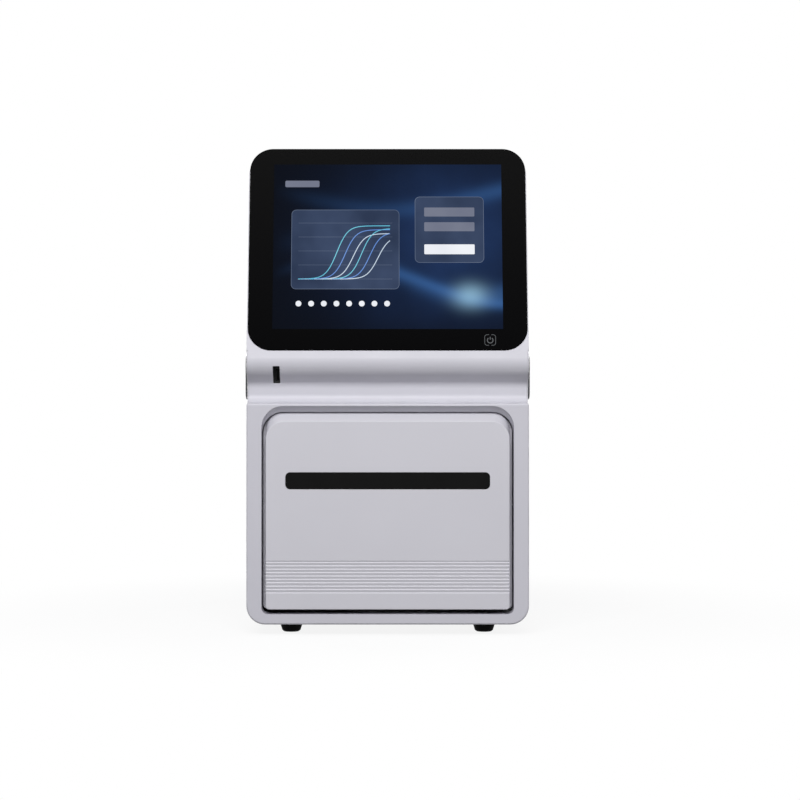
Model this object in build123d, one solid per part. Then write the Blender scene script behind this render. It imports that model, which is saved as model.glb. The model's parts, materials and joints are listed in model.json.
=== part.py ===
from build123d import *
import os
from math import cos, radians, sin, sqrt, tan

# A bench PCR machine: X to the right, Y to the rear, Z up, in millimetres.
# The origin lies on the bench under the middle of the machine.

# Body
body_width = 300.0
body_depth = 470.0
foot_height = 11.4
low_radius = 20.0
high_radius = 26.0
skin = 3.0
cover_wall = 2.5
sheet = 2.0
reveal = 0.8
fit = 0.3
fascia_depth = 30.0
pan_height = 28.0
cap_height = 45.0
rear_recess = 6.0
front_round = 2.0
foot_top = 26.0
foot_bottom = 18.7
foot_bevel = 1.5
foot_recess = 8.0
foot_recess_depth = 3.0
foot_side = 46.0
foot_inset = 44.0
pan_slot_length = 80.0
pan_slot_width = 8.0

# Drawer opening in the front
jamb = 16.0
sill_height = 10.9
opening_low_radius = 7.0
opening_high_radius = 23.0
lintel = 2.3
lead_drop = 6.2
lead_depth = 8.0
tunnel_depth = 24.0

# Channel across the front, between the drawer and the display
waist_height = 234.2
channel_depth = 18.0
channel_sill = 2.0
channel_back = 19.0
underside_drop = 17.0
chin_set = 3.5
chin_height = 19.0
chin_round = 18.0
channel_round = 9.0
lintel_round = 1.8

# Display, leaning back
lean = 13.0
glass_margin = 1.0
glass_radius = 25.0
glass_thickness = 3.0
glass_edge = 0.5
glass_bond = 0.2
glass_overlap = 2.7
lip_height = 30.0
lip_taper = 8.0
lip_chamfer = 1.2
active_side = 26.1
active_aspect = 0.75
active_low = 23.3
active_top = 17.9
lcd_border = 7.1
lcd_thickness = 8.0
lcd_frame_rise = 0.4
seam_knee_drop = 7.0
bracket_border = 6.0
bracket_wall = 1.8
bracket_rim = 30.0
display_board_end = 10.0
stud_diameter = 6.0
stud_height = 3.0
stud_side = 38.0
stud_end = 22.0
board = 1.6

# Service socket in the channel
socket_side = 31.6
socket_rise = 31.0
socket_slot_width = 7.5
socket_slot_height = 18.0
socket_slot_round = 1.0
socket_housing_wall = 1.4
socket_width = 5.7
socket_height = 13.1
socket_shell = 0.4
socket_tongue = 1.8
socket_setback = 3.0
socket_length = 15.0

# Waist trims on the sides
trim_height = 49.0
trim_rise = 4.0
trim_swell = 3.0
trim_end = 12.0
trim_rear_gap = 4.0

# Drawer
drawer_gap = 4.5
drawer_low_gap = 5.0
drawer_high_gap = 0.6
drawer_low_radius = 3.7
drawer_face_radius = 20.0
drawer_high_radius = 18.0
drawer_front_depth = 20.0
drawer_edge_round = 1.0
flange_gap = 1.2
bevel_height = 9.5
bevel_depth = 12.0
window_height = 17.9
window_side = 21.0
window_radius = 5.0
window_rise = 127.7
window_lip = 3.0
window_lip_thick = 1.5
window_recess = 0.4
light_size = 5.0
light_board_height = 16.0
rib_count = 10
rib_pitch = 3.59
rib_ledge = 1.0
rib_depth = 0.7
rib_top = 1.4
rib_rise = 17.3
drawer_travel = 210.0

# Slides and carriage
upright_gap = 12.0
upright_start = 34.0
upright_hole_length = 45.0
upright_hole_height = 30.0
flange = 10.0
slide_height = 45.0
slide_reach = 12.7
slide_wall = 1.4
slide_step = 2.0
slide_outer_gap = 3.0
slide_middle_gap = 3.5
slide_inner_depth = 7.5
slide_left_in = 90.0
slide_start = 27.0
carriage_rise = 79.2
slide_rise = 24.0
carriage_wall_rise = 47.0
carriage_arm = 20.0
drawer_lug = 14.0
tray_height = 62.0
tray_length = 197.0
tray_start = 8.0
tray_corner = 4.0
lane_count = 8
lane_side = 13.0
lane_wall = 5.0
lane_floor = 7.0
lane_end = 6.0
tube_hole = 9.0
tube_inset = 15.0

# Drawer drive
screw_diameter = 10.0
screw_chamfer = 0.8
motor_size = 42.0
motor_length = 38.0
motor_boss = 2.0
motor_clear = 3.0
motor_wall_gap = 1.0
nut_width = 18.0
nut_length = 16.0
nut_set = 6.0
bearing_width = 20.0
bearing_length = 12.0
bearing_start = 39.0
bearing_crown = 11.0
bearing_round = 8.0

# Head with magnet rods
bridge_back = 165.0
bridge_thick = 4.0
bridge_gap = 15.0
motor_shelf = 8.0
motor_shelf_thick = 3.0
motor_shelf_reach = 36.0
motor_shelf_hole = 14.0
deck_end = 45.0
rod_floor_gap = 2.0
rod_diameter = 5.0
rod_point = 1.5
rod_rest_gap = 7.0
rod_reach = 40.0
rod_bar_end = 12.0
holder_height = 20.0
holder_thick = 24.0
holder_chamfer = 3.0
head_plate_height = 60.0
head_plate_thick = 6.0
head_plate_round = 6.0
head_clear = 9.0
head_side = 42.0
holder_clear = 5.0
rail_width = 12.0
rail_thick = 8.0
rail_end = 10.0
rail_chamfer = 1.0
slider_width = 28.0
slider_height = 50.0
slider_gap = 1.5
slider_rise = 3.0
head_back_gap = 6.0
head_foot_rise = 3.0
head_screw_x = 40.0
head_screw_diameter = 8.0
head_nut_height = 12.0
head_nut_rise = 35.0

# Heated lid
lid_thick = 18.0
lid_length = 24.0
lid_round = 3.0
lid_rest_gap = 8.0
lid_travel = 7.0
lid_boss_height = 8.0
lid_boss_diameter = 16.0
lid_rod_diameter = 6.0
lid_rod_rise = 5.0
post_diameter = 8.0
post_side = 32.0
shelf_rise = 39.0
shelf_thick = 3.0
shelf_side = 7.0
shelf_foot = 20.0
actuator_width = 28.0
actuator_height = 36.0
actuator_chamfer = 3.0
actuator_bore = 24.0

# Thermal block under the tray
block_height = 14.0
block_length = 28.0
block_gap = 6.0
block_side = 6.0
well_top = 7.2
well_bottom = 4.4
well_depth = 10.0
peltier_count = 3
peltier_thick = 4.0
peltier_length = 26.0
peltier_gap = 8.0
sink_base = 6.0
fin_height = 30.0
fin_count = 17
fin_side = 6.0
fin_thick = 1.5
sink_length = 82.0
sink_fan_size = 50.0
sink_fan_depth = 15.0
frame_inset = 8.0
frame_lug = 14.0
optics_length = 24.0
optics_gap = 1.0
optics_chamfer = 3.0
optics_hole = 6.0

# Electronics
spacer_height = 6.0
spacer_diameter = 6.0
spacer_inset = 10.0
board_side = 46.0
board_front = 70.0
board_rear = 30.0
chip_height = 6.0
coil_height = 12.0
capacitor_height = 15.0
connector_height = 9.0
deck_slot_length = 48.0
deck_slot_width = 30.0
supply_side = 15.0
supply_width = 100.0
supply_height = 48.0
supply_front_gap = 26.7
supply_rear_gap = 9.0
supply_chamfer = 1.5
supply_slots = 8
supply_slot_width = 4.0
supply_slot_depth = 3.0

# Rear panel and what it carries
exhaust_size = 80.0
exhaust_depth = 25.0
exhaust_side = 90.0
exhaust_drop = 95.0
fan_hub = 3.0
fan_blades = 7
fan_blade = 1.6
fan_pitch = 35.0
fan_eye = 0.45
guard_wire = 1.6
guard_rings = 4
guard_pitch = 8.0
guard_eye = 8.0
inlet_side = 60.0
inlet_rise = 59.2
inlet_width = 28.0
inlet_height = 56.0
inlet_depth = 28.0
inlet_flange = 3.0
inlet_flange_thick = 2.0
inlet_mouth_width = 24.0
inlet_mouth_height = 16.5
inlet_mouth_cut = 4.5
inlet_mouth_depth = 16.0
inlet_mouth_rise = 4.0
inlet_round = 2.0
pin_width = 2.0
pin_height = 4.0
pin_length = 12.0
pin_side = 7.0
rocker_rise = 14.0
rocker_width = 18.4
rocker_height = 12.4
rocker_depth = 7.0
rocker_swell = 1.9
rocker_taper = 0.55
rocker_low_set = 0.4
rocker_high_set = 0.5
ports_side = 70.0
ports_drop = 16.0
ports_depth = 22.0
port_mouth = 14.0
port_proud = 0.5
port_clear = 1.5
port_board_half = 34.0
network_side = 22.0
network_width = 16.0
network_height = 14.0
network_wall = 2.0
usb_width = 14.0
usb_height = 7.0
usb_step = 20.0
usb_wall = 0.8
vent_count = 8
vent_pitch = 9.0
vent_length = 70.0
vent_width = 4.0
vent_rear = 85.0
vent_rise = 25.2
rear_vent_count = 6
rear_vent_pitch = 10.0
rear_vent_side = 80.0
rear_vent_length = 80.0
rear_vent_drop = 115.0
screw_side = 12.0
screw_end = 40.0
screw_head = 6.0
screw_head_height = 1.8
screw_shank = 3.0
screw_shank_length = 8.0
screw_hole = 3.6

# Places worked out from the sizes above
half_width = body_width / 2
front_y = -body_depth / 2
rear_y = body_depth / 2
body_low = foot_height
tilt = radians(lean)
channel_low = body_low + waist_height
sill_z = channel_low + channel_sill
chin_y = front_y + chin_set
chin_z = sill_z + channel_back + underside_drop
glass_low = chin_z + chin_height
glass_width = body_width - 2 * glass_margin
active_width = glass_width - 2 * active_side
active_height = active_width * active_aspect
active_middle = active_low + active_height / 2
glass_height = active_low + active_height + active_top
seat_depth = glass_thickness + glass_bond
body_high = glass_low + glass_height * cos(tilt) - glass_overlap
seam_y = front_y + fascia_depth
seam_knee = glass_low - seam_knee_drop
overrun = 20.0
socket_x = socket_side - half_width
socket_z = channel_low + socket_rise
socket_mouth = front_y + channel_depth + socket_setback
opening_half = half_width - jamb
opening_low = body_low + sill_height
opening_high = channel_low - lintel
opening_ceiling = opening_high - lead_drop
drawer_half = opening_half - drawer_gap
drawer_low = opening_low + drawer_low_gap
drawer_high = opening_ceiling - drawer_high_gap
face_high = drawer_high - bevel_height
drawer_back_y = front_y + drawer_front_depth
window_low = drawer_low + window_rise
window_half = drawer_half - window_side
floor_top = body_low + sheet
upright_in = half_width - upright_gap - sheet
slide_y = front_y + slide_start
slide_length = drawer_travel + slide_left_in
slide_back_y = slide_y + slide_length
carriage_half = upright_in - slide_reach
carriage_low = body_low + carriage_rise
slide_z = carriage_low + slide_rise
tray_half = carriage_half - sheet - fit
tray_low = carriage_low + sheet
tray_top = tray_low + tray_height
tray_front = drawer_back_y + sheet + tray_start
tray_back = tray_front + tray_length
lane_pitch = (2 * tray_half - 2 * lane_side) / lane_count
tube_y = tray_back - tube_inset
screw_x = upright_in - motor_size / 2 - motor_wall_gap
screw_z = carriage_low - motor_size / 2 - motor_clear
nut_y = slide_back_y - nut_length - nut_set
bearing_front_y = front_y + bearing_start
bearing_back_y = slide_back_y + nut_set
bridge_y = front_y + bridge_back
bridge_low = tray_top + bridge_gap
rod_y = bridge_y - rod_reach
rod_low = tray_top + rod_rest_gap
head_travel = rod_rest_gap + tray_height - lane_floor - rod_floor_gap
rod_length = head_travel + holder_clear - rod_rest_gap
holder_low = rod_low + rod_length
motor_low = holder_low + head_plate_height + head_clear
deck_z = motor_low + motor_length + motor_shelf
rail_y = bridge_y - rail_thick
head_back_y = rail_y - head_back_gap
head_screw_y = rail_y
head_foot_z = bridge_low + head_foot_rise
lid_low = tray_top + lid_rest_gap
lid_top = lid_low + lid_thick
shelf_z = lid_top + shelf_rise
block_top = carriage_low - block_gap
peltier_top = block_top - block_height
sink_top = peltier_top - peltier_thick
fin_top = sink_top - sink_base
sink_low = fin_top - fin_height
sink_front = tube_y - sink_length / 2
sink_back = sink_front + sink_length
block_half = lane_pitch * lane_count / 2 - block_side
post_x = block_half - post_side
fin_pitch = (2 * block_half - 2 * fin_side) / (fin_count - 1)
sink_fan_y = sink_back + sink_fan_depth + fit
sink_fan_z = sink_low + fin_height / 2
panel_y = rear_y - rear_recess - sheet
panel_face = panel_y + sheet
exhaust_x = half_width - exhaust_side
exhaust_z = body_high - exhaust_drop
inlet_x = inlet_side - half_width
inlet_z = body_low + inlet_rise
rocker_z = inlet_z + rocker_rise
ports_x = half_width - ports_side
ports_z = inlet_z - ports_drop

lean_plane = Plane(origin=(0, chin_y, glass_low), x_dir=(1, 0, 0), z_dir=(0, -cos(tilt), sin(tilt)))


# Sketches drawn in the front view (x, z), the side view (y, z) and the plan (x, y)
def at_depth(sketch, y):
    return Plane.XZ.offset(-y) * sketch


def along_depth(sketch, y_front, y_back):
    return extrude(at_depth(sketch, y_back), amount=y_back - y_front, dir=(0, -1, 0))


def along_width(sketch, x_left, x_right):
    return extrude(Plane.YZ.offset(x_left) * sketch, amount=x_right - x_left, dir=(1, 0, 0))


def upward(sketch, z_low, z_high):
    return extrude(Plane.XY.offset(z_low) * sketch, amount=z_high - z_low, dir=(0, 0, 1))


def between(sketch, y_front, other, y_back):
    return loft([at_depth(sketch, y_front), at_depth(other, y_back)], ruled=True)


def block(x0, x1, y0, y1, z0, z1):
    middle = ((x0 + x1) / 2, (y0 + y1) / 2, (z0 + z1) / 2)
    return Pos(*middle) * Box(x1 - x0, y1 - y0, z1 - z0)


def rounded_panel(x0, x1, z0, z1, low, high):
    panel = Pos((x0 + x1) / 2, (z0 + z1) / 2) * Rectangle(x1 - x0, z1 - z0)
    if low > 0:
        panel = fillet(panel.vertices().group_by(Axis.Y)[0], low)
    if high > 0:
        panel = fillet(panel.vertices().group_by(Axis.Y)[-1], high)
    return panel


def rod_along_y(x, z, y0, y1, diameter):
    return Pos(x, (y0 + y1) / 2, z) * Rot(90, 0, 0) * Cylinder(diameter / 2, y1 - y0)


def post(x, y, z0, z1, diameter):
    return Pos(x, y, (z0 + z1) / 2) * Cylinder(diameter / 2, z1 - z0)


def both_sides(solid, side):
    return solid if side > 0 else mirror(solid, Plane.YZ)


def corner_round(face, place, radius):
    if radius <= 0:
        return face
    corner = face.vertices().sort_by_distance(Vector(place[0], place[1], 0))[0]
    return fillet(corner, radius)


def body_outline(inset):
    return rounded_panel(-half_width + inset, half_width - inset, body_low + inset,
                         body_high - inset, low_radius - inset, high_radius - inset)


# The seam between the fascia and the covers: upright, then leaning with the display
def behind_seam(extra):
    start = seam_y + extra
    top_z = body_high + overrun
    low_z = body_low - overrun
    top = (start + (top_z - seam_knee) * tan(tilt), top_z)
    return Polygon((start, low_z), (start, seam_knee), top, (rear_y + overrun, top_z),
                   (rear_y + overrun, low_z), align=None)


# Side view of the moulded front: drawer face plane, channel, chin and leaning seat
def fascia_profile(inset, extra):
    channel_y = front_y + channel_depth
    underside_z = sill_z + channel_back
    chin_front = chin_y - chin_height * tan(tilt)
    seat_y = chin_y + seat_depth * cos(tilt)
    seat_z = glass_low - seat_depth * sin(tilt)
    top_z = body_high + overrun
    low_z = body_low - overrun
    back_y = seam_y + extra
    top_back_y = back_y + (top_z - seam_knee) * tan(tilt)
    face = Polygon((front_y, low_z), (front_y, channel_low), (channel_y, sill_z),
                   (channel_y, underside_z), (chin_front, chin_z), (chin_y, glass_low),
                   (seat_y, seat_z), (seat_y + (top_z - seat_z) * tan(tilt), top_z),
                   (top_back_y, top_z), (back_y, seam_knee), (back_y, low_z), align=None)
    if inset > 0:
        face = offset(face, -inset, kind=Kind.INTERSECTION)
    face = corner_round(face, (front_y + inset, channel_low - inset), lintel_round - inset)
    face = corner_round(face, (channel_y + inset, sill_z - inset), channel_round + inset)
    face = corner_round(face, (channel_y + inset, underside_z), channel_round + inset)
    return corner_round(face, (chin_front + inset, chin_z), chin_round - inset)


def opening_outline(grow, drop):
    return rounded_panel(-opening_half - grow, opening_half + grow, opening_low - grow,
                         opening_high - drop + grow, opening_low_radius + grow, opening_high_radius + grow)


# The drawer opening: its upper edge slopes down towards the drawer and fades out round the corners
def opening_cut():
    slope = lead_drop / lead_depth
    neck = opening_outline(0, lead_drop)
    neck_y = front_y + lead_depth
    mouth = between(opening_outline(0, -slope), front_y - 1, neck, neck_y)
    return mouth + along_depth(neck, neck_y, front_y + tunnel_depth + overrun)


def glass_outline(grow):
    sheet_size = (glass_width + 2 * grow, glass_height + 2 * grow)
    return Pos(0, glass_height / 2) * RectangleRounded(*sheet_size, glass_radius + grow)


# The cradle under the glass: a lip flush with it, tapering away up both sides
def glass_cradle():
    slab = Pos(0, lip_height / 2) * Rectangle(body_width + 2, lip_height)
    cradle = extrude(lean_plane * slab, amount=-seat_depth)
    cradle &= along_depth(body_outline(0), front_y, rear_y)
    start = lip_height - lip_taper
    side_plane = Plane(origin=lean_plane.origin, x_dir=lean_plane.y_dir, z_dir=(-1, 0, 0))
    end = lip_height + overrun
    ramp = Polygon((start, 0), (start, overrun), (end, overrun), (end, -seat_depth - 1),
                   (lip_height, -seat_depth - 1), (lip_height, -seat_depth), align=None)
    return cradle - extrude(side_plane * ramp, amount=half_width + overrun, both=True)


def socket_slot(grow):
    half = (socket_slot_width / 2 + grow, socket_slot_height / 2 + grow)
    radius = socket_slot_round + grow
    return rounded_panel(socket_x - half[0], socket_x + half[0], socket_z - half[1], socket_z + half[1],
                         radius, radius)


def front_fascia():
    full = along_depth(body_outline(0), front_y - overrun, rear_y)
    solid = along_width(fascia_profile(0, 0), -body_width, body_width) & full
    rim = solid.edges().filter_by(lambda e: abs(e.center().Y - front_y) < 0.01)
    rim = rim.filter_by(lambda e: e.center().Z < channel_low - lintel_round - 0.1)
    solid = fillet(rim, front_round)
    inner = along_depth(body_outline(skin), front_y - overrun, rear_y)
    hollow = along_width(fascia_profile(skin, 3 * overrun), -body_width, body_width) & inner
    tunnel = along_depth(opening_outline(skin, 0), front_y + skin / 2, front_y + tunnel_depth) & solid
    shell = (solid - hollow) + tunnel - opening_cut() + glass_cradle()
    shell -= extrude(lean_plane * glass_outline(fit), amount=-seat_depth)
    shell -= extrude(lean_plane.offset(-lip_chamfer / 2) * glass_outline(fit), amount=lip_chamfer, taper=-45)
    shell -= along_depth(socket_slot(0), front_y - 1, seam_y)
    window = Pos(0, active_middle) * Rectangle(*lcd_size(fit))
    return shell - extrude(lean_plane.offset(-seat_depth / 2) * window, amount=-3 * skin)


def touch_glass():
    glass = extrude(lean_plane * glass_outline(0), amount=-glass_thickness)
    face = glass.faces().sort_by(Axis((0, 0, 0), lean_plane.z_dir))[-1]
    return chamfer(face.edges(), glass_edge)


# A box on the leaning plane: width, height, front and back depth behind the glass face, and its middle
def leaning_box(width, height, front, back, place=None):
    spot = place or (0, active_middle)
    return extrude(lean_plane.offset(-front) * (Pos(*spot) * Rectangle(width, height)), amount=-(back - front))


def lcd_size(grow):
    return active_width + 2 * lcd_border + 2 * grow, active_height + 2 * lcd_border + 2 * grow


def lcd_panel():
    panel = leaning_box(*lcd_size(0), seat_depth, seat_depth + lcd_thickness)
    return panel - leaning_box(active_width, active_height, seat_depth - 1, seat_depth + lcd_frame_rise)


def display_bracket():
    front = seat_depth + skin
    back = seat_depth + lcd_thickness + fit
    width, height = lcd_size(fit)
    frame = leaning_box(width + 2 * bracket_border, height + 2 * bracket_wall, front, back + bracket_wall)
    frame -= leaning_box(width, height, front - 1, back)
    frame -= leaning_box(width - 2 * bracket_rim, height - 2 * bracket_rim, front - 1, back + bracket_wall + 1)
    for x in (-1, 1):
        for v in (-1, 1):
            spot = (x * (width / 2 - stud_side), active_middle + v * (height / 2 - stud_end))
            frame += extrude(lean_plane.offset(-back - bracket_wall) * (Pos(*spot) * Circle(stud_diameter / 2)),
                             amount=-stud_height)
    return frame


def display_board():
    front = seat_depth + lcd_thickness + fit + bracket_wall + stud_height
    back = front + board
    width, height = lcd_size(0)
    plate = leaning_box(width - 2 * bracket_rim, height - 2 * display_board_end, front, back)
    chip = leaning_box(width / 6, width / 6, back, back + board, (0, active_middle + height / 10))
    connector = leaning_box(width / 4, board * 5, back, back + 2 * board,
                            (-width / 6, active_middle - height / 3))
    return plate + chip + connector


# A moulded housing behind the slot, with the socket's metal mouth and tongue inside
def usb_socket():
    half_x, half_z = socket_width / 2, socket_height / 2
    back = socket_mouth + socket_length
    housing = along_depth(socket_slot(socket_housing_wall), front_y, back)
    housing &= along_width(fascia_profile(skin + fit, 3 * overrun), -half_width, half_width)
    housing -= along_depth(socket_slot(0), front_y, socket_mouth)
    housing -= block(socket_x - half_x + socket_shell, socket_x + half_x - socket_shell, front_y, back - sheet,
                     socket_z - half_z + socket_shell, socket_z + half_z - socket_shell)
    left = socket_x - half_x + 2 * socket_shell
    return housing + block(left, left + socket_tongue, socket_mouth + 1, back - 1,
                           socket_z - half_z + 3 * socket_shell, socket_z + half_z - 3 * socket_shell)


def usb_board():
    x = socket_x + socket_slot_width / 2 + socket_housing_wall
    start = front_y + channel_depth + skin + fit
    return block(x, x + board, start, socket_mouth + 2 * socket_length,
                 socket_z - socket_height, socket_z + socket_height)


def side_cover(side):
    low = body_low + pan_height + reveal
    high = body_high - cap_height - reveal
    plate = along_width(behind_seam(reveal), half_width - cover_wall, half_width)
    plate &= block(0, body_width, -body_depth, rear_y, low, high)
    middle = rear_y - vent_rear
    for index in range(vent_count):
        slot = Pos(middle, low + vent_rise + index * vent_pitch) * Rectangle(vent_length, vent_width)
        plate -= along_width(slot, 0, body_width)
    return both_sides(plate, side)


def waist_trim(side):
    start = seam_y + reveal
    end = rear_y - trim_rear_gap
    middle = channel_low + trim_rise + trim_height / 2
    outline = Pos((start + end) / 2, middle) * RectangleRounded(end - start, trim_height, trim_end)
    trim = along_width(outline, half_width, half_width + trim_swell)
    outer = trim.faces().sort_by(Axis.X)[-1]
    return both_sides(fillet(outer.edges(), trim_swell - fit), side)


def cover_ring(wall):
    ring = body_outline(0) - body_outline(wall)
    return along_depth(ring, front_y, rear_y) & along_width(behind_seam(reveal), -body_width, body_width)


def top_cover():
    cap = block(-body_width, body_width, front_y, rear_y, body_high - cap_height, body_high + 1)
    return cover_ring(cover_wall) & cap


def base_pan():
    pan = cover_ring(sheet) & block(-body_width, body_width, front_y, rear_y, 0, body_low + pan_height)
    for step in (-1, 0, 1):
        y = step * body_depth / 4
        pan -= block(-pan_slot_length / 2, pan_slot_length / 2, y - pan_slot_width / 2, y + pan_slot_width / 2,
                     0, floor_top + 1)
    return pan


def foot(x, y):
    pad = Pos(x, y, foot_height / 2) * Cone(foot_bottom / 2, foot_top / 2, foot_height)
    pad = chamfer(pad.edges().group_by(Axis.Z)[0], foot_bevel)
    return pad - post(x, y, -1, foot_recess_depth, foot_recess)


# A folded steel side frame, its foot turned in over the rounded corner of the pan
def upright(side):
    y0, y1 = front_y + upright_start, rear_y - deck_end
    out = upright_in + sheet
    bend = floor_top + (low_radius - sheet) / 2
    foot_x = half_width - low_radius
    section = Polygon((foot_x - drawer_lug, floor_top), (foot_x, floor_top), (out, bend), (out, deck_z),
                      (out - sheet, deck_z), (out - sheet, bend + 1), (foot_x - 1, floor_top + sheet),
                      (foot_x - drawer_lug, floor_top + sheet), align=None)
    plate = along_depth(section, y0, y1)
    plate += block(out - flange, out, bridge_y + flange, y1, deck_z - sheet, deck_z)
    rear_step = (y1 - bridge_y - flange) / 3
    middles = [(y0 + bridge_y) / 2] + [bridge_y + flange + rear_step * (n + 0.5) for n in range(3)]
    for y in middles:
        hole = Pos(y, (deck_z + slide_z) / 2) * SlotOverall(upright_hole_length, upright_hole_height)
        plate -= along_width(hole, half_width - 2 * low_radius, body_width)
    return both_sides(plate, side)


def board_place():
    return upright_in - board_side, bridge_y + board_front, rear_y - deck_end - board_rear


def electronics_deck():
    half = upright_in + sheet
    deck = block(-half, half, bridge_y, rear_y - deck_end, deck_z, deck_z + sheet)
    board_half, board_y0, board_y1 = board_place()
    for x in (spacer_inset - board_half, board_half - spacer_inset):
        for y in (board_y0 + spacer_inset, board_y1 - spacer_inset):
            deck += post(x, y, deck_z + sheet, deck_z + sheet + spacer_height, spacer_diameter)
    middle = (board_y0 + board_y1) / 2
    return deck - upward(Pos(0, middle) * SlotOverall(deck_slot_length, deck_slot_width), 0, body_high)


# The main board with a few of its parts as blocks: shares of the board, then heights
def control_board():
    half, y0, y1 = board_place()
    low = deck_z + sheet + spacer_height
    plate = block(-half, half, y0, y1, low, low + board)
    for across, along, width, depth, height in ((-0.55, 0.25, 0.3, 0.18, chip_height),
                                                (0.1, 0.38, 0.38, 0.21, coil_height),
                                                (0.66, 0.75, 0.22, 0.25, capacitor_height),
                                                (-0.66, 0.8, 0.44, 0.08, connector_height)):
        x, y = across * half, y0 + along * (y1 - y0)
        reach = (width * half / 2, depth * (y1 - y0) / 2)
        plate += block(x - reach[0], x + reach[0], y - reach[1], y + reach[1], low, low + board + height)
    return plate


# One telescopic slide member: a channel lying on its side, open towards the drawer
def slide_member(side, start, height, depth, wall):
    x1 = upright_in - start
    z0, z1 = slide_z - height / 2, slide_z + height / 2
    channel = block(x1 - depth, x1, slide_y, slide_back_y, z0, z1)
    channel -= block(x1 - depth - 1, x1 - wall, slide_y - 1, slide_back_y + 1, z0 + wall, z1 - wall)
    return both_sides(channel, side)


def slide_outer(side):
    return slide_member(side, 0, slide_height, slide_reach - slide_outer_gap, slide_wall)


def slide_middle(side):
    height = slide_height - 2 * slide_wall - 2 * fit
    depth = slide_reach - slide_wall - slide_middle_gap
    return slide_member(side, slide_wall + slide_step, height, depth, slide_wall)


def slide_inner(side):
    height = slide_height - 4 * slide_wall - 4 * fit
    z0, z1 = slide_z - height / 2, slide_z + height / 2
    x0 = upright_in - slide_reach
    channel = block(x0, x0 + slide_inner_depth, slide_y, slide_back_y, z0, z1)
    channel -= block(x0 + slide_wall, x0 + slide_inner_depth + 1, slide_y - 1, slide_back_y + 1,
                     z0 + slide_wall, z1 - slide_wall)
    return both_sides(channel, side)


def drawer_outline(inset, top, radius):
    return rounded_panel(-drawer_half + inset, drawer_half - inset, drawer_low + inset, top,
                         drawer_low_radius - inset, radius - inset)


# How far the bevel and the top sink where the drawer's form is inset
def drawer_top_drop(inset):
    return inset * sqrt(1 + (bevel_height / bevel_depth) ** 2)


# The drawer's outside or, at an inset of one skin, its inside: a face, a bevel above it, then straight back
def drawer_form(inset, back_y):
    slope = bevel_height / bevel_depth
    wall = drawer_top_drop(inset)
    face = drawer_outline(inset, face_high + slope * inset - wall, drawer_face_radius)
    rear = drawer_outline(inset, drawer_high - wall, drawer_high_radius)
    bevel_y = front_y + bevel_depth
    return between(face, front_y + inset, rear, bevel_y) + along_depth(rear, bevel_y, back_y)


def window_outline(grow):
    return rounded_panel(-window_half - grow, window_half + grow, window_low - grow,
                         window_low + window_height + grow, window_radius + grow, window_radius + grow)


# The reeded grip band across the foot of the drawer: teeth with a ledge on top
def reeding_cut():
    low = drawer_low + rib_rise
    points = [(front_y - 1, low), (front_y, low)]
    for index in range(rib_count):
        tip = low + index * rib_pitch
        points.append((front_y, tip))
        points.append((front_y + rib_depth, tip + rib_ledge))
    top = low + (rib_count - 1) * rib_pitch + rib_ledge + rib_top
    points += [(front_y, top), (front_y - 1, top)]
    return along_width(Polygon(*points[1:], points[0], align=None), -body_width, body_width)


def drawer_front():
    shell = drawer_form(0, drawer_back_y)
    face = shell.faces().sort_by(Axis.Y)[0]
    shell = fillet(face.edges(), drawer_edge_round)
    reach = opening_half - flange_gap
    rim = rounded_panel(-reach, reach, drawer_low, drawer_high, drawer_low_radius,
                        opening_high_radius - flange_gap)
    shell += along_depth(rim, drawer_back_y - skin, drawer_back_y)
    shell = shell - drawer_form(skin, drawer_back_y + 1) - reeding_cut()
    return shell - along_depth(window_outline(fit / 2), front_y - 1, front_y + 2 * skin)


def status_window():
    lens = along_depth(window_outline(0), front_y + window_recess, front_y + skin)
    return lens + along_depth(window_outline(window_lip), front_y + skin, front_y + skin + window_lip_thick)


def status_board():
    y = front_y + skin + window_lip_thick + fit
    middle = window_low + window_height / 2
    half_height = light_board_height / 2
    plate = block(-window_half, window_half, y + board, y + 2 * board,
                  middle - half_height, middle + half_height)
    half = light_size / 2
    for index in range(lane_count):
        x = lane_x(index)
        plate += block(x - half, x + half, y, y + board, middle - half, middle + half)
    return plate


def drawer_back():
    inset = skin + fit
    plate = along_depth(drawer_outline(inset, drawer_high - drawer_top_drop(inset), drawer_high_radius),
                        drawer_back_y - sheet, drawer_back_y)
    for side in (-1, 1):
        edge = sorted((side * (carriage_half - drawer_lug), side * carriage_half))
        plate += block(*edge, drawer_back_y, drawer_back_y + sheet,
                       carriage_low, carriage_low + carriage_wall_rise)
    return plate


def drawer_carriage():
    y0 = drawer_back_y + sheet
    floor = block(-carriage_half, carriage_half, y0, tray_back + sheet, carriage_low, tray_low)
    slot_half = block_half + sheet
    floor -= block(-slot_half, slot_half, tube_y - tube_hole, tube_y + tube_hole,
                   carriage_low - 1, tray_low + 1)
    for side in (-1, 1):
        wall = sorted((side * (carriage_half - sheet), side * carriage_half))
        arm = sorted((side * (carriage_half - carriage_arm), side * carriage_half))
        floor += block(*wall, y0, slide_back_y, carriage_low, carriage_low + carriage_wall_rise)
        floor += block(*arm, y0, slide_back_y, carriage_low, tray_low)
    return floor


def lane_x(index):
    return (index - (lane_count - 1) / 2) * lane_pitch


def lane_tray():
    tray = block(-tray_half, tray_half, tray_front, tray_back, tray_low, tray_top)
    tray = fillet(tray.edges().filter_by(Axis.Z), tray_corner)
    lane = Rectangle(lane_pitch - lane_wall, tray_length - 2 * lane_end)
    for index in range(lane_count):
        x = lane_x(index)
        tray -= upward(Pos(x, (tray_front + tray_back) / 2) * lane, tray_low + lane_floor, tray_top + 1)
        tray -= post(x, tube_y, tray_low - 1, tray_top, tube_hole)
    return tray


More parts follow.
